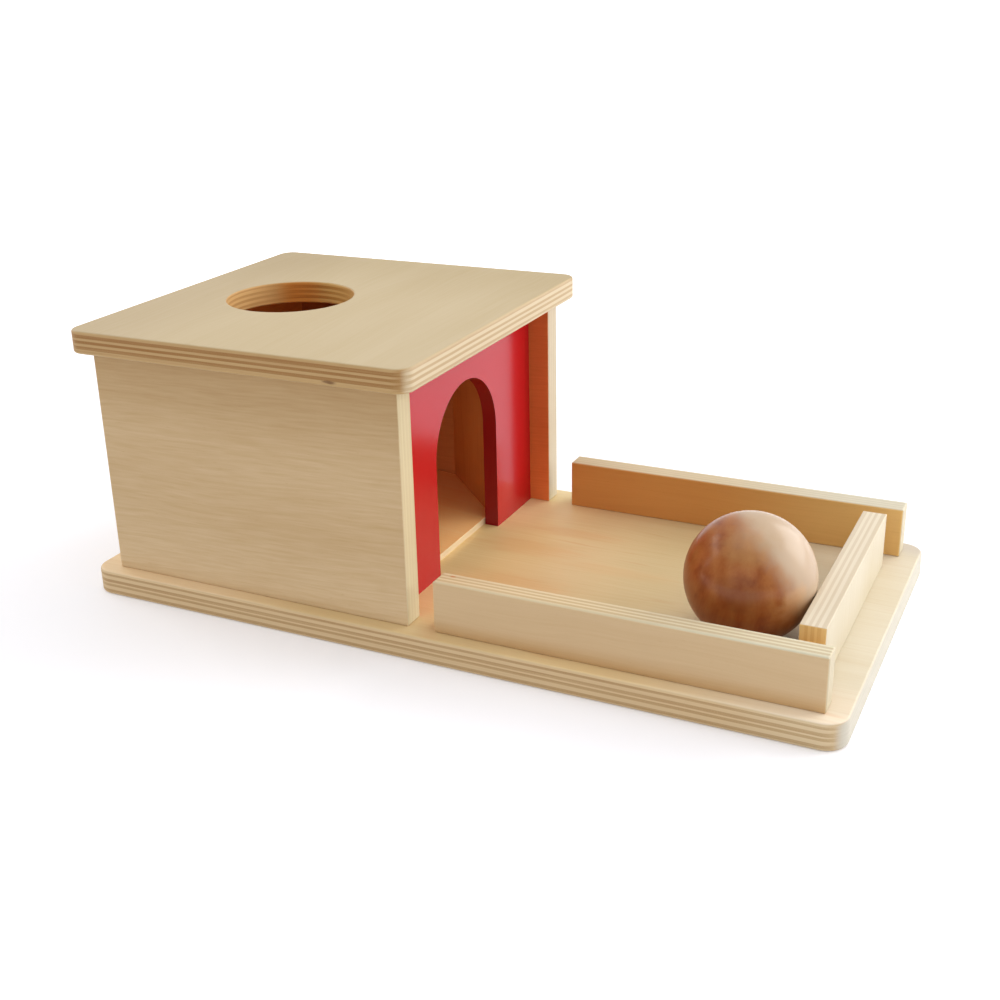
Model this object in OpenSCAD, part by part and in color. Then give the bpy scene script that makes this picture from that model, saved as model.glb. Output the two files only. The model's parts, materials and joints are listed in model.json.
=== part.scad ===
// Object permanence box: a plywood house with a round drop hole in its roof, a red arched
// doorway, an inner chute and an open tray that catches the wooden ball.
// Frame: origin at the middle of the base board's underside, +X from house to tray,
// +Y away from the side that is looked at, +Z up. Millimetres.

/* [Base board] */
// Length of the base board
base_l = 300; // [290:5:400]
// Width of the base board
base_w = 150; // [146:2:200]
// Thickness of the base board
base_t = 10; // [8:1:16]
// Radius of the base board's corners
base_corner_r = 8; // [4:1:14]

/* [House walls] */
// Length of a side wall
house_l = 132; // [124:2:136]
// Margin of the base board beside each side wall and side rail
side_margin = 6; // [3:0.5:8]
// Height of the walls
wall_h = 90; // [82:1:110]
// Thickness of the side walls and the rear wall
wall_t = 9; // [8:0.5:12]
// Distance from the base's rear end to the walls' rear ends
house_rear_gap = 10; // [6:1:14]

/* [Roof] */
// Thickness of the roof board
roof_t = 9; // [8:0.5:12]
// Overhang of the roof past the walls at front and rear
roof_end_overhang = 7; // [2:1:8]
// Overhang of the roof past each side wall
roof_side_overhang = 6; // [2:1:8]
// Radius of the roof board's corners
roof_corner_r = 6; // [4:1:12]
// Diameter of the drop hole
hole_d = 51; // [49:0.5:56]
// Distance from the walls' rear ends to the middle of the drop hole
hole_from_rear = 44.5; // [40:0.5:50]

/* [Arched panel] */
// Thickness of the painted panel
panel_t = 6; // [4:0.5:8]
// Depth of the panel behind the front ends of the side walls
panel_recess = 9; // [4:0.5:12]
// Width of the arched doorway
arch_w = 52.5; // [50:0.5:56]
// Height of the doorway's straight jambs
jamb_h = 46; // [38:1:48]

/* [Chute] */
// Thickness of the ramp board
ramp_t = 3; // [2.5:0.5:4]
// Height of the ramp's underside at its rear end, above the base
ramp_rise = 11; // [8:0.5:14]
// Thickness of the two guide boards
guide_t = 6; // [3:0.5:8]
// Distance from a jamb of the doorway to the guide beside it
guide_set_back = 4.75; // [2:0.25:7]
// Distance from the panel to where a guide meets the side wall
guide_run = 31.5; // [26:0.5:36]

/* [Tray] */
// Distance from the base's front end to the ends of the side rails
side_rail_inset = 7.5; // [4:0.5:12]
// Height of a side rail
side_rail_h = 20; // [18:1:26]
// Thickness of the three rails
rail_t = 9; // [8:0.5:12]
// Gap between the side walls and the side rails
rail_gap = 10.5; // [6:0.5:12]
// Gap between the end rail and the near side rail
end_rail_near_gap = 6.5; // [2:0.5:14]
// Gap between the end rail and the far side rail
end_rail_far_gap = 11; // [2:0.5:14]
// Height of the end rail
end_rail_h = 22; // [18:1:26]
// Distance from the base's front end to the end rail's outer face
end_rail_inset = 12; // [8:0.5:16]

/* [Ball] */
// Diameter of the wooden ball
ball_d = 46; // [44.5:0.5:47]
// Distance from the near side rail to the ball at rest
ball_side_gap = 9; // [4:0.5:20]

/* [Hidden] */

$fn = 96;

// Sanded edges, one radius for each sort of board
board_ease = 1;
wall_ease = 0.5;
side_rail_ease = 0.8;
end_rail_ease = 0.4;
hole_ease = 0.8;

// Small flat taken off the foot of every upright board, which leaves a fine groove on the base
foot_arris = 0.4;

// Clearances
ramp_side_gap = 0.25;
ramp_end_gap = 0.3;
ball_gap = 0.3;
bore_gap = 0.05;
overrun = 1;

// Countersunk wood screws, driven up through the base
screw_d = 3.5;
screw_head_d = 7;
screw_head_depth = 2.2;
screw_sunk = 0.4;
screw_tip = 3;
wall_screw_l = 30;
rail_screw_l = 24;
recess_l = 3.6;
recess_w = 0.8;
recess_depth = 1.4;
wall_screw_inset = 24;
rear_screw_inset = 30;
side_rail_screw_inset = 28;
end_rail_screw_inset = 22;

// Dowels between the side walls and the roof
dowel_d = 6;
dowel_l = 20;
dowel_in_roof = 5;
dowel_end_chamfer = 0.6;
dowel_gap = 0.2;
dowel_inset = 18;

// Places worked out from the sizes above
house_x0 = -base_l / 2 + house_rear_gap;
house_x1 = house_x0 + house_l;
wall_outer_y = base_w / 2 - side_margin;
wall_inner_y = wall_outer_y - wall_t;
wall_mid_y = wall_outer_y - wall_t / 2;
wall_top_z = base_t + wall_h;
rear_wall_x1 = house_x0 + wall_t;
panel_x1 = house_x1 - panel_recess;
panel_x0 = panel_x1 - panel_t;
hole_x = house_x0 + hole_from_rear;
roof_l = house_l + 2 * roof_end_overhang;
roof_w = 2 * (wall_outer_y + roof_side_overhang);
guide_mouth = arch_w + 2 * guide_set_back;
side_rail_x0 = house_x1 + rail_gap;
side_rail_l = base_l / 2 - side_rail_inset - side_rail_x0;
side_rail_inner_y = wall_outer_y - rail_t;
end_rail_x1 = base_l / 2 - end_rail_inset;
end_rail_x0 = end_rail_x1 - rail_t;
end_rail_l = 2 * side_rail_inner_y - end_rail_near_gap - end_rail_far_gap;
end_rail_mid_y = (end_rail_near_gap - end_rail_far_gap) / 2;

// The ramp's underside leaves the base just behind the panel and climbs to the rear
ramp_rear_x = rear_wall_x1 + ramp_end_gap;
ramp_run = panel_x0 - ramp_end_gap - ramp_rear_x;
ramp_a = atan(ramp_rise / ramp_run);
ramp_front_x = panel_x0 - ramp_end_gap - ramp_t * sin(ramp_a);
ramp_l = (ramp_front_x - ramp_rear_x) / cos(ramp_a);
function ramp_under_z(x) = base_t + (ramp_front_x - x) * tan(ramp_a);
function ramp_top_z(x) = ramp_under_z(x) + ramp_t / cos(ramp_a);

// The ball rests against the end rail, and rolls back to the foot of the ramp
ball_x = end_rail_x0 - ball_gap - ball_d / 2;
ball_y = -side_rail_inner_y + ball_side_gap + ball_d / 2;
ball_z = base_t + ball_gap + ball_d / 2;

// A rectangle with its middle at the origin and round corners
module round_rect(w, h, r) {
    union() {
        square([w - 2 * r, h], center = true);
        square([w, h - 2 * r], center = true);
        for (sx = [-1, 1], sy = [-1, 1])
            translate([sx * (w / 2 - r), sy * (h / 2 - r)]) circle(r = r);
    }
}

// Board lying flat on z = 0, with round corners and sanded rims above and below
module sanded_board(l, w, t, r, e) {
    translate([0, 0, t / 2]) {
        rotate([90, 0, 90])
            linear_extrude(height = l - 2 * r, center = true) round_rect(w, t, e);
        rotate([90, 0, 0])
            linear_extrude(height = w - 2 * r, center = true) round_rect(l, t, e);
        for (sx = [-1, 1], sy = [-1, 1])
            translate([sx * (l / 2 - r), sy * (w / 2 - r), 0])
                rotate_extrude() intersection() {
                    round_rect(2 * r, t, e);
                    translate([0, -t]) square([r + t, 2 * t]);
                }
    }
}

// Side view of an upright board w wide and h high, standing on its arrised foot
module footed(w, h) {
    polygon([
        [foot_arris - w / 2, 0],
        [w / 2 - foot_arris, 0],
        [w / 2, foot_arris],
        [w / 2, h],
        [-w / 2, h],
        [-w / 2, foot_arris]]);
}

// Wall standing on z = 0, square at its glued top, with its upright edges sanded
module footed_wall(l, w, h, e) {
    intersection() {
        linear_extrude(height = h) round_rect(l, w, e);
        rotate([90, 0, 0]) linear_extrude(height = w, center = true) footed(l, h);
        rotate([90, 0, 90]) linear_extrude(height = l, center = true) footed(w, h);
    }
}

// Rail standing on z = 0, sanded on its ends and its top
module sanded_rail(l, w, h, e) {
    intersection() {
        linear_extrude(height = h) round_rect(l, w, e);
        rotate([90, 0, 0]) linear_extrude(height = w, center = true) intersection() {
            round_rect(l, 2 * h, e);
            footed(l, h);
        }
        rotate([90, 0, 90]) linear_extrude(height = l, center = true) intersection() {
            round_rect(w, 2 * h, e);
            footed(w, h);
        }
    }
}

// Cutter for a round hole through a board of thickness t, with sanded rims
module hole_cutter(r, t, e) {
    rotate_extrude() {
        translate([0, -overrun]) square([r, t + 2 * overrun]);
        for (side = [0, 1])
            translate([0, side * t]) mirror([0, side]) difference() {
                translate([0, -overrun]) square([r + e, e + overrun]);
                translate([r + e, e]) circle(r = e);
            }
    }
}

// Places of the screws, as [x, y] under the board that they hold
wall_screw_xs = [house_x0 + wall_screw_inset, house_x1 - wall_screw_inset];
wall_screw_places = [for (x = wall_screw_xs, side = [-1, 1]) [x, side * wall_mid_y]];
rear_screw_places = [for (side = [-1, 1])
    [house_x0 + wall_t / 2, side * (wall_inner_y - rear_screw_inset)]];
side_rail_mid_y = wall_outer_y - rail_t / 2;
side_rail_screw_xs = [side_rail_x0 + side_rail_screw_inset,
    side_rail_x0 + side_rail_l - side_rail_screw_inset];
side_rail_screw_places = [for (x = side_rail_screw_xs, side = [-1, 1])
    [x, side * side_rail_mid_y]];
end_rail_screw_places = [for (side = [-1, 1])
    [end_rail_x0 + rail_t / 2, end_rail_mid_y + side * (end_rail_l / 2 - end_rail_screw_inset)]];
dowel_xs = [house_x0 + dowel_inset, house_x1 - dowel_inset];
dowel_places = [for (x = dowel_xs, side = [-1, 1]) [x, side * wall_mid_y]];

// Outline of a countersunk screw, turned about its axis and grown by gap
module screw_form(length, gap) {
    r = screw_d / 2 + gap;
    head_r = screw_head_d / 2 + gap;
    rotate_extrude() polygon([
        [0, 0],
        [head_r, 0],
        [r, screw_head_depth],
        [r, length - screw_tip],
        [0, length + gap]]);
}

// Countersunk screw, head down, with a crossed driver recess
module screw(length) {
    difference() {
        screw_form(length, 0);
        for (turn = [0, 90])
            rotate([0, 0, turn]) translate([-recess_l / 2, -recess_w / 2, -overrun])
                cube([recess_l, recess_w, recess_depth + overrun]);
    }
}

module screws_at(places, length) {
    for (p = places) translate([p[0], p[1], screw_sunk]) screw(length);
}

// Countersinks and pilot holes for a set of screws
module screw_bores(places, length) {
    for (p = places) {
        translate([p[0], p[1], screw_sunk]) screw_form(length, bore_gap);
        translate([p[0], p[1], -overrun])
            cylinder(r = screw_head_d / 2 + bore_gap, h = screw_sunk + overrun);
    }
}

module dowel_bores() {
    for (p = dowel_places)
        translate([p[0], p[1], wall_top_z + dowel_in_roof - dowel_l])
            cylinder(r = dowel_d / 2 + bore_gap, h = dowel_l + dowel_gap);
}

module base_board() {
    color([0.87, 0.76, 0.58]) difference() {
        sanded_board(base_l, base_w, base_t, base_corner_r, board_ease);
        screw_bores(wall_screw_places, wall_screw_l);
        screw_bores(rear_screw_places, wall_screw_l);
        screw_bores(side_rail_screw_places, rail_screw_l);
        screw_bores(end_rail_screw_places, rail_screw_l);
    }
}

// Side wall, sanded on its four upright edges
module side_wall(side) {
    color([0.80, 0.68, 0.49]) difference() {
        translate([(house_x0 + house_x1) / 2, side * wall_mid_y, base_t])
            footed_wall(house_l, wall_t, wall_h, wall_ease);
        screw_bores(wall_screw_places, wall_screw_l);
        dowel_bores();
    }
}

module near_side_wall() {
    side_wall(-1);
}

module far_side_wall() {
    side_wall(1);
}

module rear_wall() {
    color([0.82, 0.70, 0.51]) difference() {
        translate([house_x0 + wall_t / 2, 0, base_t]) rotate([90, 0, 0])
            linear_extrude(height = 2 * wall_inner_y, center = true) footed(wall_t, wall_h);
        screw_bores(rear_screw_places, wall_screw_l);
    }
}

// Painted panel, with a doorway of straight jambs under a half circle
module arch_panel() {
    color([0.78, 0.12, 0.15])
        translate([panel_x0, 0, base_t]) rotate([90, 0, 90])
            linear_extrude(height = panel_t) difference() {
                translate([-wall_inner_y, 0]) square([2 * wall_inner_y, wall_h]);
                translate([-arch_w / 2, -overrun]) square([arch_w, jamb_h + overrun]);
                translate([0, jamb_h]) circle(d = arch_w);
            }
}

module roof_board() {
    color([0.85, 0.75, 0.59]) difference() {
        translate([(house_x0 + house_x1) / 2, 0, wall_top_z])
            sanded_board(roof_l, roof_w, roof_t, roof_corner_r, board_ease);
        translate([hole_x, 0, wall_top_z]) hole_cutter(hole_d / 2, roof_t, hole_ease);
        dowel_bores();
    }
}

// Thin board that slopes down from the rear wall to the doorway
module ramp() {
    color([0.82, 0.66, 0.45])
        translate([ramp_front_x, 0, base_t]) rotate([0, ramp_a, 0])
            translate([-ramp_l, ramp_side_gap - wall_inner_y, 0])
                cube([ramp_l, 2 * (wall_inner_y - ramp_side_gap), ramp_t]);
}

// Strip under the ramp's rear end, its top planed to the slope of the ramp
module ramp_cleat() {
    color([0.80, 0.64, 0.43])
        rotate([90, 0, 0])
            linear_extrude(height = 2 * wall_inner_y, center = true) polygon([
                [rear_wall_x1, base_t],
                [rear_wall_x1 + wall_t, base_t],
                [rear_wall_x1 + wall_t, ramp_under_z(rear_wall_x1 + wall_t)],
                [ramp_rear_x, ramp_under_z(ramp_rear_x)],
                [rear_wall_x1, ramp_under_z(ramp_rear_x)]]);
}

// Space over the ramp, inside the house
module over_ramp() {
    rotate([90, 0, 0]) linear_extrude(height = 2 * wall_inner_y, center = true) polygon([
        [rear_wall_x1, ramp_top_z(rear_wall_x1)],
        [panel_x0, ramp_top_z(panel_x0)],
        [panel_x0, wall_top_z],
        [rear_wall_x1, wall_top_z]]);
}

// Upright board that turns the ball towards the doorway: mitred to the panel and to the
// side wall, with its foot cut to the slope of the ramp
module guide(side) {
    reach = wall_inner_y - guide_mouth / 2;
    guide_a = atan2(guide_run, reach);
    panel_cut = guide_t / sin(guide_a);
    wall_cut = guide_t / cos(guide_a);
    color([0.80, 0.63, 0.42]) intersection() {
        translate([panel_x0, 0, 0]) mirror([0, side < 0 ? 1 : 0])
            linear_extrude(height = wall_top_z) polygon([
                [0, guide_mouth / 2],
                [0, guide_mouth / 2 + panel_cut],
                [wall_cut - guide_run, wall_inner_y],
                [-guide_run, wall_inner_y]]);
        over_ramp();
    }
}

module near_guide() {
    guide(-1);
}

module far_guide() {
    guide(1);
}

module side_rail(side) {
    color([0.80, 0.70, 0.53]) difference() {
        translate([side_rail_x0 + side_rail_l / 2, side * side_rail_mid_y, base_t])
            sanded_rail(side_rail_l, rail_t, side_rail_h, side_rail_ease);
        screw_bores(side_rail_screw_places, rail_screw_l);
    }
}

module near_rail() {
    side_rail(-1);
}

module far_rail() {
    side_rail(1);
}

module end_rail() {
    color([0.93, 0.86, 0.72]) difference() {
        translate([end_rail_x0 + rail_t / 2, end_rail_mid_y, base_t])
            rotate([0, 0, 90]) sanded_rail(end_rail_l, rail_t, end_rail_h, end_rail_ease);
        screw_bores(end_rail_screw_places, rail_screw_l);
    }
}

module side_wall_screws() {
    color([0.80, 0.74, 0.52]) screws_at(wall_screw_places, wall_screw_l);
}

module rear_wall_screws() {
    color([0.80, 0.74, 0.52]) screws_at(rear_screw_places, wall_screw_l);
}

module side_rail_screws() {
    color([0.80, 0.74, 0.52]) screws_at(side_rail_screw_places, rail_screw_l);
}

module end_rail_screws() {
    color([0.80, 0.74, 0.52]) screws_at(end_rail_screw_places, rail_screw_l);
}

// Dowels, chamfered at both ends, half hidden in the walls and half in the roof
module roof_dowels() {
    r = dowel_d / 2;
    c = dowel_end_chamfer;
    color([0.88, 0.78, 0.60])
        for (p = dowel_places)
            translate([p[0], p[1], wall_top_z + dowel_in_roof - dowel_l])
                rotate_extrude() polygon([
                    [0, 0],
                    [r - c, 0],
                    [r, c],
                    [r, dowel_l - c],
                    [r - c, dowel_l],
                    [0, dowel_l]]);
}

module ball() {
    color([0.70, 0.45, 0.30]) translate([ball_x, ball_y, ball_z]) sphere(d = ball_d);
}

base_board();
near_side_wall();
far_side_wall();
rear_wall();
arch_panel();
roof_board();
ramp();
ramp_cleat();
near_guide();
far_guide();
near_rail();
far_rail();
end_rail();
side_wall_screws();
rear_wall_screws();
side_rail_screws();
end_rail_screws();
roof_dowels();
ball();
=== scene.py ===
import json
import math
import bpy
from mathutils import Matrix, Vector


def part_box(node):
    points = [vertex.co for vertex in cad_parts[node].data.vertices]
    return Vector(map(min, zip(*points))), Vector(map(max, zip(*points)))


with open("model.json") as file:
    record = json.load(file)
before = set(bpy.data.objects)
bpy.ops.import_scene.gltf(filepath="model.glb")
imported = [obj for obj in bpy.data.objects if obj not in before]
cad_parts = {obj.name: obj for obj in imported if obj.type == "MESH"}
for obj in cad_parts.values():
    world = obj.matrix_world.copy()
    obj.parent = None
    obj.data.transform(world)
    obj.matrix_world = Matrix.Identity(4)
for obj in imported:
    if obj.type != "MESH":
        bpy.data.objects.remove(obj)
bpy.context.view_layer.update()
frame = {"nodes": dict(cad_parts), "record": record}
print("frame loaded,", len(frame["nodes"]), "pieces")

millimetre = 0.001
axes = dict(x=Vector((1, 0, 0)), y=Vector((0, 1, 0)), z=Vector((0, 0, 1)))


# The view of the photograph, worked out from the corners of the boards
viewpoint = dict(
    place=(0.2114, -0.4460, 0.2372),  # metres
    turn=26.598,  # degrees, as are the dip and the roll
    dip=21.513,
    roll=-1.549,
    lens=48.50,  # millimetres, as is the sensor
    sensor=36.0,
    shift=(0.020, -0.018),
)


def addCamera(v):
    data = bpy.data.cameras.new("photo_camera")
    data.lens = v["lens"]
    data.sensor_width = v["sensor"]
    data.shift_x, data.shift_y = v["shift"]
    camera = bpy.data.objects.new("photo_camera", data)
    bpy.context.scene.collection.objects.link(camera)
    camera.matrix_world = (
        Matrix.Translation(v["place"])
        @ Matrix.Rotation(math.radians(v["turn"]), 4, "Z")
        @ Matrix.Rotation(math.radians(90 - v["dip"]), 4, "X")
        @ Matrix.Rotation(math.radians(v["roll"]), 4, "Z")
    )
    bpy.context.scene.camera = camera


addCamera(viewpoint)
bpy.context.scene.view_settings.view_transform = "Standard"
print("camera set")


def tint(code):
    # a colour written as on a paint card, turned into Blender's linear values
    parts = [int(code[i:i + 2], 16) / 255 for i in (0, 2, 4)]
    return [((c + 0.055) / 1.055) ** 2.4 if c > 0.04045 else c / 12.92 for c in parts] + [1.0]


class Wire:
    # one output of a node, which can be used in sums
    def __init__(self, shader, socket):
        self.shader = shader
        self.socket = socket

    def sum(self, operation, *terms):
        return self.shader.add("ShaderNodeMath", {"operation": operation}, dict(enumerate(terms)))

    def __add__(self, other):
        return self.sum("ADD", self, other)

    def __radd__(self, other):
        return self.sum("ADD", other, self)

    def __sub__(self, other):
        return self.sum("SUBTRACT", self, other)

    def __rsub__(self, other):
        return self.sum("SUBTRACT", other, self)

    def __mul__(self, other):
        return self.sum("MULTIPLY", self, other)

    def __rmul__(self, other):
        return self.sum("MULTIPLY", other, self)

    def __truediv__(self, other):
        return self.sum("DIVIDE", self, other)

    def __pow__(self, other):
        return self.sum("POWER", self, other)

    def __abs__(self):
        return self.sum("ABSOLUTE", self)

    def fract(self):
        return self.sum("FRACT", self)


class Shader:
    # the nodes of a material or of the world
    def __init__(self, owner):
        owner.use_nodes = True
        self.owner = owner
        self.tree = owner.node_tree
        self.tree.nodes.clear()

    def add(self, kind, settings, inputs, output=0):
        node = self.tree.nodes.new(kind)
        for key, value in settings.items():
            if key == "stops":
                self.fillRamp(node.color_ramp, value)
            else:
                setattr(node, key, value)
        for key, value in inputs.items():
            if isinstance(value, Wire):
                self.tree.links.new(value.socket, node.inputs[key])
            else:
                node.inputs[key].default_value = value
        return Wire(self, node.outputs[output] if node.outputs else None)

    def fillRamp(self, ramp, stops):
        while len(ramp.elements) > 1:
            ramp.elements.remove(ramp.elements[-1])
        for i, (place, level) in enumerate(stops):
            stop = ramp.elements[0] if i == 0 else ramp.elements.new(place)
            stop.position = place
            stop.color = (level, level, level, 1)

    def vector(self, operation, inputs, output=0):
        return self.add("ShaderNodeVectorMath", {"operation": operation}, inputs, output)

    def place(self):
        # the place on the piece, in millimetres
        spot = self.add("ShaderNodeTexCoord", {}, {}, "Object")
        return self.vector("SCALE", {0: spot, "Scale": 1 / millimetre})

    def facing(self):
        return self.add("ShaderNodeTexCoord", {}, {}, "Normal")

    def along(self, spot, axis):
        return self.vector("DOT_PRODUCT", {0: spot, 1: tuple(axis)}, "Value")

    def length(self, arrow):
        return self.vector("LENGTH", {0: arrow}, "Value")

    def split(self, spot):
        return [self.along(spot, axes[name]) for name in "xyz"]

    def point(self, x, y, z):
        return self.add("ShaderNodeCombineXYZ", {}, {0: x, 1: y, 2: z})

    def noise(self, x, y, z, detail=2.0):
        # soft noise, from 0 to 1, one lump to each unit of x, y and z
        return self.add(
            "ShaderNodeTexNoise", {"noise_dimensions": "3D"},
            {"Vector": self.point(x, y, z), "Scale": 1.0, "Detail": detail, "Roughness": 0.5},
        )

    def rise(self, value, low, high):
        # 0 below low, 1 above high, and smooth between them
        return self.add(
            "ShaderNodeMapRange", {"interpolation_type": "SMOOTHSTEP"},
            {"Value": value, "From Min": low, "From Max": high},
        )

    def ramp(self, value, stops):
        return self.add("ShaderNodeValToRGB", {"stops": stops}, {"Fac": value})

    def mix(self, share, first, second, blend="MIX"):
        return self.add(
            "ShaderNodeMix", {"data_type": "RGBA", "blend_type": blend},
            {0: share, 6: first, 7: second}, 2,
        )

    def bump(self, height, w):
        # the depth is in millimetres
        return self.add(
            "ShaderNodeBump", {},
            {"Height": height, "Strength": w["bumpStrength"], "Distance": w["bumpDepth"] * millimetre},
        )

    def close(self, colour, roughness, **others):
        # the finished surface; the others go to the sockets they are named after
        inputs = {"Base Color": colour, "Roughness": roughness}
        inputs.update({key.replace("_", " "): value for key, value in others.items()})
        surface = self.add("ShaderNodeBsdfPrincipled", {}, inputs)
        self.add("ShaderNodeOutputMaterial", {}, {"Surface": surface})


def newMaterial(node, kind):
    # puts a new material on the piece, with its nodes still to come
    material = bpy.data.materials.new(node + "_" + kind)
    frame["nodes"][node].material_slots[0].material = material
    return Shader(material)


def boardAxes(node, grain):
    # the thickness of a board is square to where most of its area faces
    areas = {}
    for face in frame["nodes"][node].data.polygons:
        key = tuple(round(abs(c), 2) for c in face.normal)
        area, normal = areas.get(key, (0, face.normal.copy()))
        areas[key] = (area + face.area, normal)
    through = max(areas.values(), key=lambda entry: entry[0])[1].normalized()
    lengthwise = (axes[grain] - through * axes[grain].dot(through)).normalized()
    crosswise = through.cross(lengthwise)
    depths = [v.co.dot(through) for v in frame["nodes"][node].data.vertices]
    return lengthwise, crosswise, through, min(depths) / millimetre, max(depths) / millimetre


# How far through the board each glue line lies, as shares of the board's thickness
sevenPlies = (0.19, 0.32, 0.43, 0.55, 0.66, 0.80)
ninePlies = (0.11, 0.20, 0.34, 0.46, 0.53, 0.63, 0.79, 0.90)
roofPlies = (0.03, 0.145, 0.29, 0.395, 0.515, 0.63, 0.77, 0.88)
threePlies = (0.30, 0.70)
fivePlies = (0.17, 0.39, 0.61, 0.83)


def plyStops(glueLines, softness=0.012):
    # 0 in the plies whose grain runs with the face, and 1 in those that lie across it
    stops = [(0.0, 0.0)]
    for i, line in enumerate(glueLines):
        before, after = i % 2, (i + 1) % 2
        stops += [(line - softness, float(before)), (line + softness, float(after))]
    return stops


def glueStops(glueLines, halfWidth=0.014):
    stops = [(0.0, 0.0)]
    for line in glueLines:
        stops += [(line - halfWidth, 0.0), (line, 1.0), (line + halfWidth, 0.0)]
    return stops


# What every board has unless its own values say otherwise, with sizes in millimetres
veneer = dict(
    grain="x",
    glueLines=sevenPlies,
    face="e0c294",
    deep="c79f67",  # where the figure of the face is darkest
    streak="c8905a",
    pale="e9d3ad",  # the cut edges, from pale to dark
    dark="b98d58",
    endGrain=0.8,  # how much darker the edge is where fibres end on it
    innerPlies=0.1,
    glue=0.25,
    bodyDepth=0.35,  # how far the face lies from its own colour towards the deep one
    wave=5.0,  # how far the grain wanders sideways
    slope=0.0,  # how far it runs off sideways for each millimetre of length
    ring=3.6,  # from one year ring to the next
    ringDepth=0.3,
    fibreDepth=0.5,
    fibreLength=34.0,
    fibreWidth=0.75,
    cloudDepth=0.5,
    streakDepth=0.0,
    fleckDepth=0.3,
    skin=False,  # whether the outer plies look the same from all sides
    cheek=None,  # painted light and shade: the edges turned one way get tones of their own, for the light they catch: the way, pale and dark
    bore=None,  # painted shade: the darker, warmer tone of a hole's wall
    shades=(),
    marks=(),
    seed=0.0,
    roughness=0.46,
)


# Each layer of the wood's figure: its length along the grain and its width across it, in
# millimetres, how much detail it has, and where in the noise it starts
figure = dict(
    drift=(70.0, 26.0, 1, 0.0),
    fine=(11.0, 0.22, 2, 5.3),
    cloud=(120.0, 17.0, 2, 7.7),
    bend=(160.0, 8.0, 1, 9.2),
    presence=(45.0, 5.0, 1, 11.9),
    fleck=(2.6, 0.35, 1, 13.4),
    streak=(38.0, 4.2, 2, 17.3),
    wobble=(25.0, 25.0, 2, 21.0),
)
fibreDetail = 3
fibreStart = 3.1
fineShare = 0.35  # how strong the finest fibres are beside the long ones
ringBend = 3
ringSharpness = 5
fleckRange = (0.70, 0.80)
streakRange = (0.62, 0.78)


def layer(s, name, u, v, w):
    length, width, detail, start = figure[name]
    return s.noise(u / length, v / width, w["seed"] + start, detail)


def faceFigure(s, u, v, w):
    # long fibres and soft year rings, on u along the grain and v across it
    lie = v + (layer(s, "drift", u, v, w) - 0.5) * w["wave"] + u * w["slope"]
    fibre = s.noise(u / w["fibreLength"], lie / w["fibreWidth"], w["seed"] + fibreStart, fibreDetail)
    phase = (lie / w["ring"] + layer(s, "bend", u, lie, w) * ringBend).fract()
    ring = phase ** ringSharpness * layer(s, "presence", u, lie, w)
    fleck = s.rise(layer(s, "fleck", u, lie, w), *fleckRange)
    streak = s.rise(layer(s, "streak", u, lie, w), *streakRange)
    depth = (
        w["bodyDepth"]
        + (fibre - 0.5) * w["fibreDepth"]
        + (layer(s, "fine", u, lie, w) - 0.5) * fineShare * w["fibreDepth"]
        + (layer(s, "cloud", u, lie, w) - 0.5) * w["cloudDepth"]
        + ring * w["ringDepth"]
        + fleck * w["fleckDepth"]
    )
    colour = s.mix(depth, tint(w["face"]), tint(w["deep"]))
    colour = s.mix(streak * w["streakDepth"], colour, tint(w["streak"]))
    return colour, fibre, ring


turnedRange = (0.5, 0.9)  # how far towards a way a face looks when its tone sets in and is full


def turnedTo(s, normal, way):
    # 1 on the faces that are turned one way, such as "z" or "-y"
    sign = -1 if way[0] == "-" else 1
    return s.rise(s.along(normal, axes[way[-1]] * sign), *turnedRange)


def shaded(s, colour, spot, normal, shades):
    # changes of tone on the faces, mostly painted light and shade, a few the wood's own: which faces,
    # the change, and where it sets in and is full
    for way, factor, *runs in shades:
        share = turnedTo(s, normal, way)
        for axis, start, full in runs:
            share = share * s.rise(s.along(spot, axes[axis]), start, full)
        colour = s.mix(share, colour, (*factor, 1), "MULTIPLY")
    return colour


# The ragged outline of a mark, in shares of how far the mark reaches
markOutline = dict(lumps=(1.4, 2.2, 2.2), detail=3, raggedness=1.1, core=0.3, rim=1.0)


def marked(s, colour, spot, marks, origin=(0, 0, 0)):
    # single marks in the wood, and on the ball two of painted light: the middle, how far it reaches, its
    # colour and how strong it is
    w = markOutline
    for middle, reach, code, strength in marks:
        arrow = s.vector("SUBTRACT", {0: spot, 1: Vector(origin) + Vector(middle)})
        away = s.vector("DIVIDE", {0: arrow, 1: reach})
        x, y, z = [part * lump for part, lump in zip(s.split(away), w["lumps"])]
        ragged = s.length(away) + (s.noise(x, y, z, w["detail"]) - 0.5) * w["raggedness"]
        share = 1 - s.rise(ragged, w["core"], w["rim"])
        colour = s.mix(share * strength, colour, tint(code))
    return colour


# What shows on a board's cut edges, with sizes in millimetres
cutEdge = dict(
    wobble=0.025,  # how far the glue lines stray, as a share of the thickness
    skinBlend=0.02,
    endSharpness=1.5,
    toneSize=90.0,
    toneSteps=11,
    toneDepth=0.6,
    lineLength=16.0,
    lineWidth=0.16,
    lineDepth=0.45,
    speckLength=0.5,
    speckWidth=0.25,
    speckDepth=0.5,
    flatRange=(0.55, 0.95),
    boreRim=1.0,  # how far the painted shade on a hole's wall runs past its radius, and how it fades
    boreFade=1.5,
)

# How smooth a board is and how its figure stands up from it
boardFinish = dict(
    fibreRoughness=0.14,
    edgeRoughness=0.08,
    fibreHeight=0.6,
    ringHeight=0.4,
    bumpStrength=0.25,
    bumpDepth=0.12,
    sheen=0.3,
)


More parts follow.
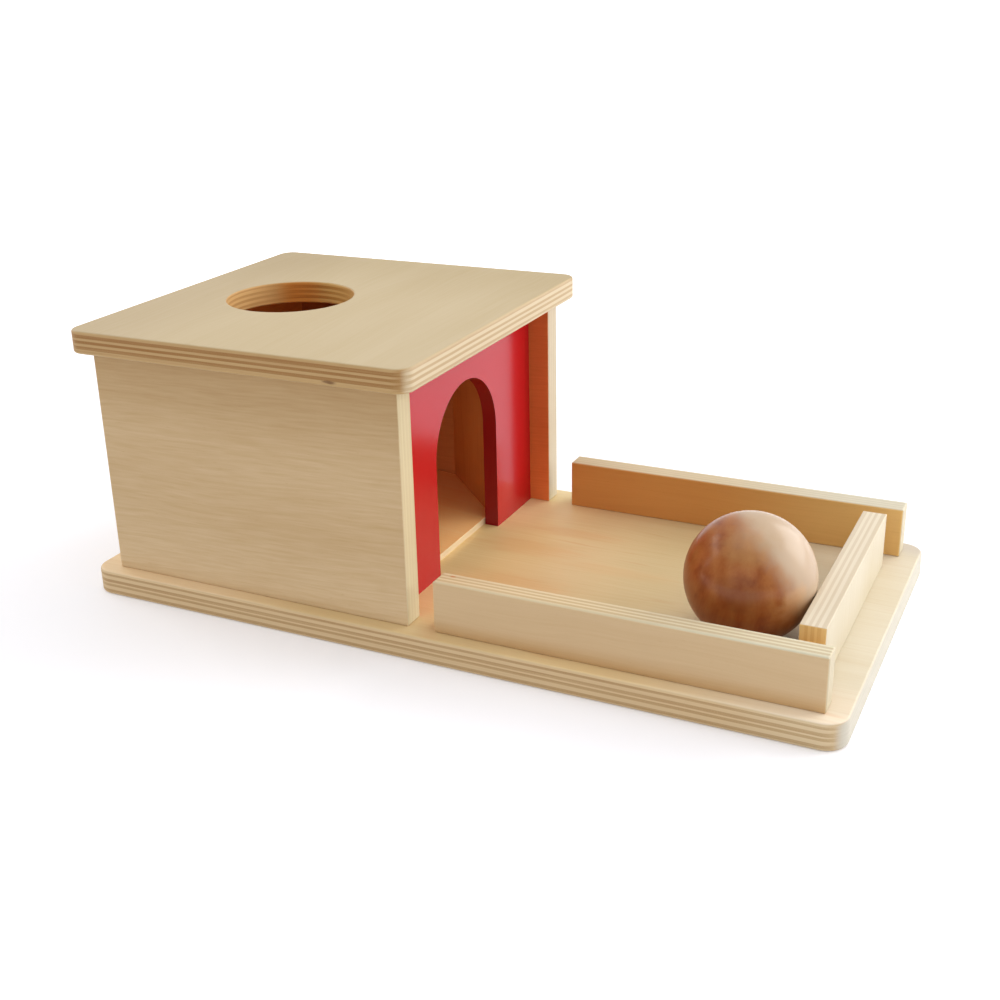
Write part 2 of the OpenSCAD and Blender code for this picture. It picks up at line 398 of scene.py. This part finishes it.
def paintedBoreShade(s, edge, spot, factor):
    # painted shade: the wall of the drop hole is painted darker and warmer than the outer rim, for shade
    # and warm bounced light in the hole
    hole = next(mount for mount in frame["record"]["mounts"] if mount["name"] == "drop_hole")
    x, y = [part / millimetre for part in hole["pos_m"][:2]]
    reach = hole["dims"]["r_mm"] + cutEdge["boreRim"]
    away = s.length(s.vector("MULTIPLY_ADD", {0: spot, 1: (1, 1, 0), 2: (-x, -y, 0)}))
    share = 1 - s.rise(away, reach, reach + cutEdge["boreFade"])
    return s.mix(share, edge, (*factor, 1), "MULTIPLY")


def edgeFigure(s, u, v, t, share, normal, ways, w):
    # plies on the cut edges: dark where a ply's fibres end on the surface
    lengthwise, crosswise = ways
    inner = s.ramp(share, plyStops(w["glueLines"]))
    glue = s.ramp(share, glueStops(w["glueLines"]))
    outerEnd = abs(s.along(normal, lengthwise))
    innerEnd = abs(s.along(normal, crosswise))
    end = outerEnd + inner * (innerEnd - outerEnd)
    if w["skin"]:
        # the thin outer plies look the same from all sides
        first, last = w["glueLines"][0], w["glueLines"][-1]
        blend = cutEdge["skinBlend"]
        end = end * s.ramp(share, [(0, 0), (first, 0), (first + blend, 1), (last - blend, 1), (last, 0)])
    size, steps = cutEdge["toneSize"], cutEdge["toneSteps"]
    plyTone = s.noise(u / size, v / size, share * steps + w["seed"], detail=1)
    length, width = cutEdge["lineLength"], cutEdge["lineWidth"]
    lines = s.noise(u / length, v / length, t / width)
    length, width = cutEdge["speckLength"], cutEdge["speckWidth"]
    specks = s.noise(u / length, v / length, t / width)
    darkness = (
        end ** cutEdge["endSharpness"] * w["endGrain"]
        + inner * w["innerPlies"]
        + (plyTone - 0.5) * cutEdge["toneDepth"]
        + (lines - 0.5) * cutEdge["lineDepth"]
        + (specks - 0.5) * end * cutEdge["speckDepth"]
        + glue * w["glue"]
    )
    edge = s.mix(darkness, tint(w["pale"]), tint(w["dark"]))
    if w["cheek"]:
        # painted light and shade: the end that catches the most light, or the least, is painted with
        # tones of its own
        way, pale, dark = w["cheek"]
        edge = s.mix(turnedTo(s, normal, way), edge, s.mix(darkness, tint(pale), tint(dark)))
    return edge, lines


def plywood(node, changes):
    w = {**veneer, **changes}
    s = newMaterial(node, "plywood")
    lengthwise, crosswise, through, low, high = boardAxes(node, w["grain"])
    spot = s.place()
    u = s.along(spot, lengthwise)
    v = s.along(spot, crosswise)
    t = s.along(spot, through)
    normal = s.facing()
    face, fibre, ring = faceFigure(s, u, v, w)
    wobble = (layer(s, "wobble", u, v, w) - 0.5) * cutEdge["wobble"]
    share = (t - low) / (high - low) + wobble
    edge, lines = edgeFigure(s, u, v, t, share, normal, (lengthwise, crosswise), w)
    if w["bore"]:
        edge = paintedBoreShade(s, edge, spot, w["bore"])
    flat = s.rise(abs(s.along(normal, through)), *cutEdge["flatRange"])
    colour = s.mix(flat, edge, face)
    colour = shaded(s, colour, spot, normal, w["shades"])
    colour = marked(s, colour, spot, w["marks"])
    f = boardFinish
    cut = 1 - flat
    roughness = w["roughness"] + (fibre - 0.5) * f["fibreRoughness"] + cut * f["edgeRoughness"]
    height = fibre * f["fibreHeight"] - ring * f["ringHeight"] + cut * lines
    s.close(colour, roughness, Normal=s.bump(height, f), Specular_IOR_Level=f["sheen"])


baseBoard = dict(
    glueLines=ninePlies,
    face="e5cd9e",
    deep="cfac73",
    streak="cf965c",
    streakDepth=0.3,
    pale="d6bd93",
    dark="ac8757",
    endGrain=0.55,
    wave=9.0,
    ring=7.0,
    ringDepth=0.2,
    fibreDepth=0.4,
    # painted light: the brightly lit end is painted near white
    cheek=("x", "d3ccbb", "cbc3b1"),
    shades=(
        ("z", (1.17, 1.19, 1.42), ("x", -40.0, -100.0)),  # painted light beside the house, where the strip is paler
        ("z", (1.13, 1.12, 1.0), ("x", 30.0, -5.0), ("y", -68.0, -50.0)),  # painted light before the doorway
        # painted light by the far jamb
        ("z", (1.12, 1.22, 1.36), ("x", 25.0, -5.0), ("y", 25.0, 48.0)),
        ("z", (0.87, 0.91, 0.91), ("x", 20.0, 60.0), ("y", -68.0, -45.0)),  # painted shade along the near rail
        # painted light on the strip by the near edge
        ("z", (1.08, 1.08, 1.08), ("x", 20.0, 50.0), ("y", -66.0, -70.0)),
        ("z", (0.86, 0.85, 0.92), ("y", 58.0, 72.0)),  # painted shade behind the far rail
        ("z", (1.12, 1.27, 1.84), ("x", 60.0, 148.0)),  # painted light and sheen, paler towards the tray's end
        # painted light on the near edge, paler still towards the tray's end
        ("-y", (1.06, 1.04, 1.03)),
        ("-y", (1.04, 1.10, 1.18), ("x", 105.0, 140.0)),
    ),
    marks=(
        ((2.0, 12.0, 10.0), (34.0, 10.0, 6.0), "d99a58", 0.28),
        ((16.0, 32.0, 10.0), (28.0, 6.0, 6.0), "d69656", 0.24),
        ((12.0, -22.0, 10.0), (30.0, 12.0, 6.0), "dda566", 0.25),
        ((44.0, 4.0, 10.0), (34.0, 6.0, 6.0), "d9a76c", 0.2),
    ),
    seed=1.7,
)
plywood("base_board", baseBoard)

roofBoard = dict(
    grain="y",
    glueLines=roofPlies,
    skin=True,
    face="ccb996",
    deep="bca579",
    pale="c3a16e",
    dark="9a6b36",
    cheek=("x", "d6c4a2", "bda079"),
    bore=(1.13, 0.88, 0.54),
    shades=(
        # painted shade: the top darker towards the left end, away from the lamps on the right, and
        # towards the far side
        ("z", (0.90, 0.88, 0.87), ("x", -85.0, -140.0)),
        ("z", (0.89, 0.87, 0.81), ("y", 0.0, 70.0)),
        ("-y", (1.18, 1.0, 0.75), ("y", 15.0, 22.0), ("x", -94.0, -106.0)),  # painted warm shade on the hole's wall
        # painted light on the right side of the hole's wall
        ("-y", (1.25, 1.6, 2.0), ("y", 12.0, 20.0), ("x", -104.0, -88.0)),
        ("-x", (1.3, 1.6, 2.0), ("x", -86.0, -76.0)),
    ),
    marks=(((-31.0, -75.0, 101.6), (3.6, 3.0, 0.9), "6b4524", 0.8),),
    fibreDepth=0.25,
    ringDepth=0.06,
    cloudDepth=0.7,
    fleckDepth=0.1,
    wave=14.0,
    ring=11.0,
    seed=4.4,
)
plywood("roof_board", roofBoard)

sideWall = dict(
    face="d6ba90",
    deep="bf9c6a",
    slope=-0.035,
    wave=4.5,
    ring=3.7,
    ringDepth=0.2,
    fibreLength=15.0,
    fibreWidth=0.95,
    fibreDepth=0.9,
    endGrain=0.35,
)
nearWall = dict(
    cheek=("x", "dccca5", "c7ae84"),
    shades=(
        ("y", (1.05, 0.52, 0.24)),  # painted warm shade: the inside is painted orange, for light bounced inside the house
        ("-y", (0.82, 0.76, 0.66), ("z", 66.0, 100.0)),  # painted shade, darker under the roof
        ("-y", (1.15, 1.21, 1.32), ("z", 40.0, 10.0)),  # and painted light, paler at the foot where the floor bounces light up
        # painted light at the foot of the front edge, and painted shade under the roof
        ("x", (1.15, 1.25, 1.34), ("z", 45.0, 10.0)),
        ("x", (0.90, 0.91, 0.90), ("z", 60.0, 100.0)),
    ),
    seed=8.3,
)
farWall = dict(
    cheek=("x", "d2c2a7", "c1af8f"),
    shades=(
        ("-y", (1.06, 0.42, 0.21)),  # painted warm shade: the inside, which shows beside the panel, is painted orange
        # painted light, paler at the foot
        ("-y", (1.28, 1.32, 1.36), ("z", 50.0, 12.0)),
        # the painted orange is weaker deeper inside the house
        ("-y", (1.0, 1.5, 1.9), ("x", -30.0, -42.0)),
        ("-y", (0.62, 0.5, 0.5), ("x", -50.0, -80.0), ("z", 50.0, 70.0)),  # painted shade where it is seen through the drop hole
        # painted light at the foot of the front edge
        ("x", (1.20, 1.32, 1.42), ("z", 45.0, 10.0)),
    ),
    seed=12.9,
)
# painted warm shade: the inside face is painted orange
rearWall = dict(grain="y", slope=0.0, shades=(("x", (1.05, 0.62, 0.32)),), seed=16.1)
plywood("near_side_wall", {**sideWall, **nearWall})
plywood("far_side_wall", {**sideWall, **farWall})
plywood("rear_wall", {**sideWall, **rearWall})

sideRail = dict(
    face="dfc49b",
    deep="c9a677",
    pale="e4d1aa",
    dark="ccb185",
    cheek=("x", "d5cab1", "cabb9a"),
    fibreDepth=0.35,
    ringDepth=0.12,
    ring=9.0,
    wave=7.0,
)
nearRail = dict(
    shades=(
        # painted shade at the foot of the outer face
        ("-y", (0.90, 0.80, 0.68), ("z", 17.0, 10.0)),
        ("z", (0.88, 0.90, 0.92), ("y", -66.4, -68.0)),
        # painted light, paler towards the tray's end
        ("z", (0.95, 1.05, 1.22), ("x", 50.0, 130.0)),
    ),
    marks=(((7.5, -62.3, 30.0), (1.6, 0.9, 1.0), "c8763c", 0.7),),
    seed=20.6,
)
farRail = dict(
    dark="dac6a0",
    shades=(
        # painted warm shade: the inside face is painted orange, and paler towards the tray's end
        ("-y", (0.98, 0.64, 0.31)),
        ("-y", (1.14, 1.5, 1.9), ("x", 60.0, 125.0)),
        ("z", (0.85, 0.84, 0.86)),
        # painted shade near the house, and painted light paler towards the tray's end
        ("z", (0.96, 0.94, 0.90), ("x", 45.0, 5.0)),
        ("z", (0.98, 1.10, 1.30), ("x", 60.0, 130.0)),
    ),
    seed=25.2,
)
plywood("near_rail", {**sideRail, **nearRail})
plywood("far_rail", {**sideRail, **farRail})

endRail = dict(
    grain="z",
    # painted light: the face and top are paler and greyer than the other rails, for the strong light on
    # this end
    face="dbd1bb",
    deep="cdbd9b",
    pale="e2d5be",
    dark="d0bea2",
    innerPlies=0.0,
    endGrain=0.7,
    # painted warm shade: the end turned to the front is painted deep orange
    cheek=("-y", "f0c984", "e2b46e"),
    seed=29.8,
)
plywood("end_rail", endRail)

innerBoard = dict(
    # painted warm shade: the boards inside the house are painted a deeper orange than the outer boards,
    # for the warm light bounced inside
    face="f0a55d",
    deep="cc7e3c",
    pale="e4c899",
    dark="b98a56",
    roughness=0.5,
)
rampBoard = dict(
    face="f8d29a",
    deep="e6b673",
    pale="f8e6c4",
    dark="ecd0a0",
    glueLines=threePlies,
    innerPlies=0.2,
    endGrain=0.2,
    glue=0.1,
    shades=(
        # painted warm light on the ramp in the doorway, and painted shade further back in the house
        ("z", (1.2, 1.03, 0.86)),
        ("z", (1.0, 0.82, 0.72), ("x", -30.0, -46.0)),
    ),
    seed=33.3,
)
plywood("ramp", {**innerBoard, **rampBoard})
plywood("ramp_cleat", {**innerBoard, "grain": "y", "seed": 35.9})
plywood("near_guide", {**innerBoard, "grain": "z", "glueLines": fivePlies, "seed": 37.7})
plywood("far_guide", {**innerBoard, "grain": "z", "glueLines": fivePlies, "seed": 41.2})
print("boards finished")


redLacquer = dict(
    colour="c4141d",
    worn="b31019",
    wornShare=0.5,
    cloudSize=30.0,
    # painted shade on the doorway's reveal
    cutTone=(0.55, 0.48, 0.52),
    cutRange=(0.3, 0.8),
    cutRoughness=0.15,
    roughness=0.21,
    sheen=0.4,
    sheenTint=(0.92, 0.86, 1.0, 1.0),
    seed=2.0,
)


def lacquer(node, w):
    s = newMaterial(node, "lacquer")
    x, y, z = [part / w["cloudSize"] for part in s.split(s.place())]
    cloud = s.noise(x, y, z + w["seed"], detail=1)
    colour = s.mix(cloud * w["wornShare"], tint(w["colour"]), tint(w["worn"]))
    cut = 1 - s.rise(abs(s.along(s.facing(), axes["x"])), *w["cutRange"])  # painted shade: the doorway's reveal is painted darker, and it is rougher too
    colour = s.mix(cut, colour, (*w["cutTone"], 1), "MULTIPLY")
    roughness = w["roughness"] + cut * w["cutRoughness"]
    s.close(colour, roughness, Specular_IOR_Level=w["sheen"], Specular_Tint=w["sheenTint"])


lacquer("arch_panel", redLacquer)
print("panel painted")


# Sizes are in millimetres, and those in pairs lie along the grain and across it
ballWood = dict(
    light="b97a42",
    dark="92481a",
    heart="783715",
    sap="c7b195",
    sapWay=Vector((0.706, 0.488, 0.522)),  # the side of the ball painted paler, facing the key light: pale sapwood and painted light
    sapDepth=0.83,
    grain=Vector((0.25, -0.35, 0.9)),
    pith=(38.0, 14.0),  # from the ball's middle to the middle of the log
    marks=(
        ((1.3, -13.5, 18.7), (12.0, 11.0, 12.0), "b48c5a", 0.4),
        ((1.8, -22.5, 2.7), (11.0, 7.0, 9.0), "743612", 0.45),
        # painted light with pale sapwood: these two marks make the lower right paler, where light
        # bounces up from the end rail
        ((19.8, -12.5, -2.3), (9.0, 10.0, 9.0), "d8a878", 0.6),
        ((15.8, -15.0, -6.3), (8.0, 8.0, 7.0), "c27c42", 0.45),
    ),
    drift=(22.0, 12.0),
    driftDepth=9,
    ring=5.4,
    ringDepth=0.25,
    fibre=(14.0, 0.7),
    fibreDepth=0.3,
    mottle=(12.0, 7.0),
    mottleDepth=0.8,
    bodyDepth=0.54,
    outwardDepth=0.25,
    heartRange=(0.55, 0.8),
    heartDepth=0.6,
    sapRange=(0.14, 0.54),
    sapMottle=0.24,
    sapFibre=0.04,
    roughness=0.36,
    fibreRoughness=0.1,
    bumpStrength=0.12,
    bumpDepth=0.05,
    sheen=0.2,
    polish=0.3,
    polishRoughness=0.18,
    seed=6.0,
)


def turnedWood(node, w):
    s = newMaterial(node, "wood")
    low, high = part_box(node)
    middle = (low + high) / 2 / millimetre
    radius = (high.z - low.z) / 2 / millimetre
    fibreWay = w["grain"].normalized()
    side = fibreWay.cross(axes["y"]).normalized()
    other = fibreWay.cross(side)
    spot = s.place()
    h = s.along(spot, fibreWay) - middle.dot(fibreWay)
    p = s.along(spot, side) - (middle.dot(side) - w["pith"][0])
    q = s.along(spot, other) - (middle.dot(other) - w["pith"][1])

    def noiseOf(size, detail, start=0.0):
        length, width = size
        return s.noise(h / length, p / width, q / width + start, detail)

    drift = (noiseOf(w["drift"], detail=2) - 0.5) * w["driftDepth"]
    fromPith = (p * p + q * q) ** 0.5 + drift
    swell = abs((fromPith / w["ring"]).fract() - 0.5) * 2  # year rings that fade in and out
    fibre = noiseOf(w["fibre"], detail=3)
    mottle = noiseOf(w["mottle"], detail=3, start=w["seed"])
    # painted light and pale sapwood: the side towards the key light is painted paler, and the wood
    # darkens away from it
    sapWay = w["sapWay"].normalized()
    outward = (s.along(spot, sapWay) - middle.dot(sapWay)) / radius
    depth = (
        w["bodyDepth"]
        - outward * w["outwardDepth"]
        + (swell - 0.5) * w["ringDepth"]
        + (fibre - 0.5) * w["fibreDepth"]
        + (mottle - 0.5) * w["mottleDepth"]
    )
    colour = s.mix(depth, tint(w["light"]), tint(w["dark"]))
    colour = s.mix(s.rise(mottle, *w["heartRange"]) * w["heartDepth"], colour, tint(w["heart"]))
    ragged = outward + (mottle - 0.5) * w["sapMottle"] + (fibre - 0.5) * w["sapFibre"]
    colour = s.mix(s.rise(ragged, *w["sapRange"]) * w["sapDepth"], colour, tint(w["sap"]))
    colour = marked(s, colour, spot, w["marks"], middle)
    roughness = w["roughness"] + (fibre - 0.5) * w["fibreRoughness"]
    s.close(
        colour, roughness, Normal=s.bump(fibre, w), Specular_IOR_Level=w["sheen"],
        Coat_Weight=w["polish"], Coat_Roughness=w["polishRoughness"],
    )


turnedWood("ball", ballWood)
print("ball finished")


dowelWood = dict(
    light="dcbb8b",
    dark="b98f5c",
    fibreWidth=0.6,
    fibreLength=18,
    roughness=0.6,
    fibreRoughness=0.1,
    bumpStrength=0.2,
    bumpDepth=0.05,
)


def plainWood(node, w):
    s = newMaterial(node, "wood")
    x, y, z = s.split(s.place())
    fibre = s.noise(x / w["fibreWidth"], y / w["fibreWidth"], z / w["fibreLength"], detail=3)
    colour = s.mix(fibre, tint(w["light"]), tint(w["dark"]))
    roughness = w["roughness"] + (fibre - 0.5) * w["fibreRoughness"]
    s.close(colour, roughness, Normal=s.bump(fibre, w))


plainWood("roof_dowels", dowelWood)

screwSteel = dict(
    bright="d9c98e",
    dull="b59a58",
    wearSize=1.5,
    roughness=0.34,
    wearRoughness=0.25,
    bumpStrength=0.1,
    bumpDepth=0.02,
)


def plated(node, w):
    s = newMaterial(node, "steel")
    x, y, z = [part / w["wearSize"] for part in s.split(s.place())]
    wear = s.noise(x, y, z, detail=4)
    colour = s.mix(wear, tint(w["bright"]), tint(w["dull"]))
    roughness = w["roughness"] + (wear - 0.5) * w["wearRoughness"]
    s.close(colour, roughness, Normal=s.bump(wear, w), Metallic=1.0)


for screws in ("side_wall_screws", "rear_wall_screws", "side_rail_screws", "end_rail_screws"):
    plated(screws, screwSteel)
print("dowels and screws finished")


studio = dict(
    floorSize=40.0,  # metres
    floorColour="f4f4f9",
    floorGlow=0.135,
    glowRange=(350.0, 900.0),  # millimetres from the middle of the box
    skyLevel=0.48,
    backdropLevel=0.8,
    roomLevel=0.08,
    backdropWay=(0.45, 0.85, 0.3),
    backdropRange=(-0.5, 0.4),
)
white = (1, 1, 1, 1)


def rays(s, kind):
    # 1 for one kind of ray, such as "Camera", and 0 for the others
    return s.add("ShaderNodeLightPath", {}, {}, "Is " + kind + " Ray")


def addFloor(w):
    bpy.ops.object.select_all(action="DESELECT")
    bpy.ops.mesh.primitive_plane_add(size=w["floorSize"])
    floor = bpy.context.object
    floor.name = "studio_floor"
    s = Shader(bpy.data.materials.new("studio_floor"))
    # the floor is paper near the object, which keeps its shadow, and glows white further off
    far = s.rise(s.length(s.place()), *w["glowRange"])
    strength = w["floorGlow"] + far * (1 - w["floorGlow"])
    seen = rays(s, "Camera") + rays(s, "Glossy") + rays(s, "Transmission")
    paper = s.add("ShaderNodeBsdfDiffuse", {}, {"Color": tint(w["floorColour"])})
    glow = s.add("ShaderNodeEmission", {}, {"Color": white, "Strength": seen * strength})
    both = s.add("ShaderNodeAddShader", {}, {0: paper, 1: glow})
    s.add("ShaderNodeOutputMaterial", {}, {"Surface": both})
    floor.data.materials.append(s.owner)


def addSky(w):
    world = bpy.data.worlds.new("studio_sky")
    bpy.context.scene.world = world
    s = Shader(world)
    # gloss shows the white backdrop behind the object and the dimmer room in front of it
    way = s.add("ShaderNodeTexCoord", {}, {}, "Generated")
    first, last = w["backdropRange"]
    room = s.add("ShaderNodeMapRange", {"interpolation_type": "SMOOTHSTEP"}, {
        "Value": s.along(way, w["backdropWay"]), "From Min": first, "From Max": last,
        "To Min": w["roomLevel"], "To Max": w["backdropLevel"],
    })
    gloss = s.add("ShaderNodeMapRange", {}, {
        "Value": rays(s, "Glossy"), "To Min": w["skyLevel"], "To Max": room,
    })
    level = s.add("ShaderNodeMapRange", {}, {"Value": rays(s, "Camera"), "To Min": gloss})
    sky = s.add("ShaderNodeBackground", {}, {"Color": white, "Strength": level})
    s.add("ShaderNodeOutputWorld", {}, {"Surface": sky})


# Where each soft box hangs and how bright it is, with distances and sizes in metres
softBoxes = (
    dict(name="key_window", way=(0.62, 0.72, 0.45), distance=1.4, width=1.2, height=0.8, level=0.5),
    dict(name="near_window", way=(1.0, 0.25, 0.45), distance=0.6, width=0.5, height=0.4, level=0.3),
    dict(name="top_box", way=(0.0, 0.05, 1.0), distance=1.4, width=1.2, height=1.2, level=0.3),
    dict(name="left_fill", way=(-1.0, 0.0, 0.55), distance=1.4, width=1.0, height=0.8, level=0.35),
    dict(name="front_fill", way=(0.1, -1.0, 0.45), distance=1.4, width=1.2, height=0.8, level=0.11),
)


def softBox(name, way, distance, width, height, level):
    # level is how bright a white sheet square to the light would look, where 1 is white
    data = bpy.data.lights.new(name, "AREA")
    data.shape = "RECTANGLE"
    data.size = width
    data.size_y = height
    data.energy = level * (math.pi * distance) ** 2
    lamp = bpy.data.objects.new(name, data)
    bpy.context.scene.collection.objects.link(lamp)
    back = Vector(way).normalized()
    turn = back.to_track_quat("Z", "Y").to_matrix().to_4x4()
    lamp.matrix_world = Matrix.Translation(back * distance) @ turn


addFloor(studio)
addSky(studio)
for lamp in softBoxes:
    softBox(**lamp)
print("studio lit")
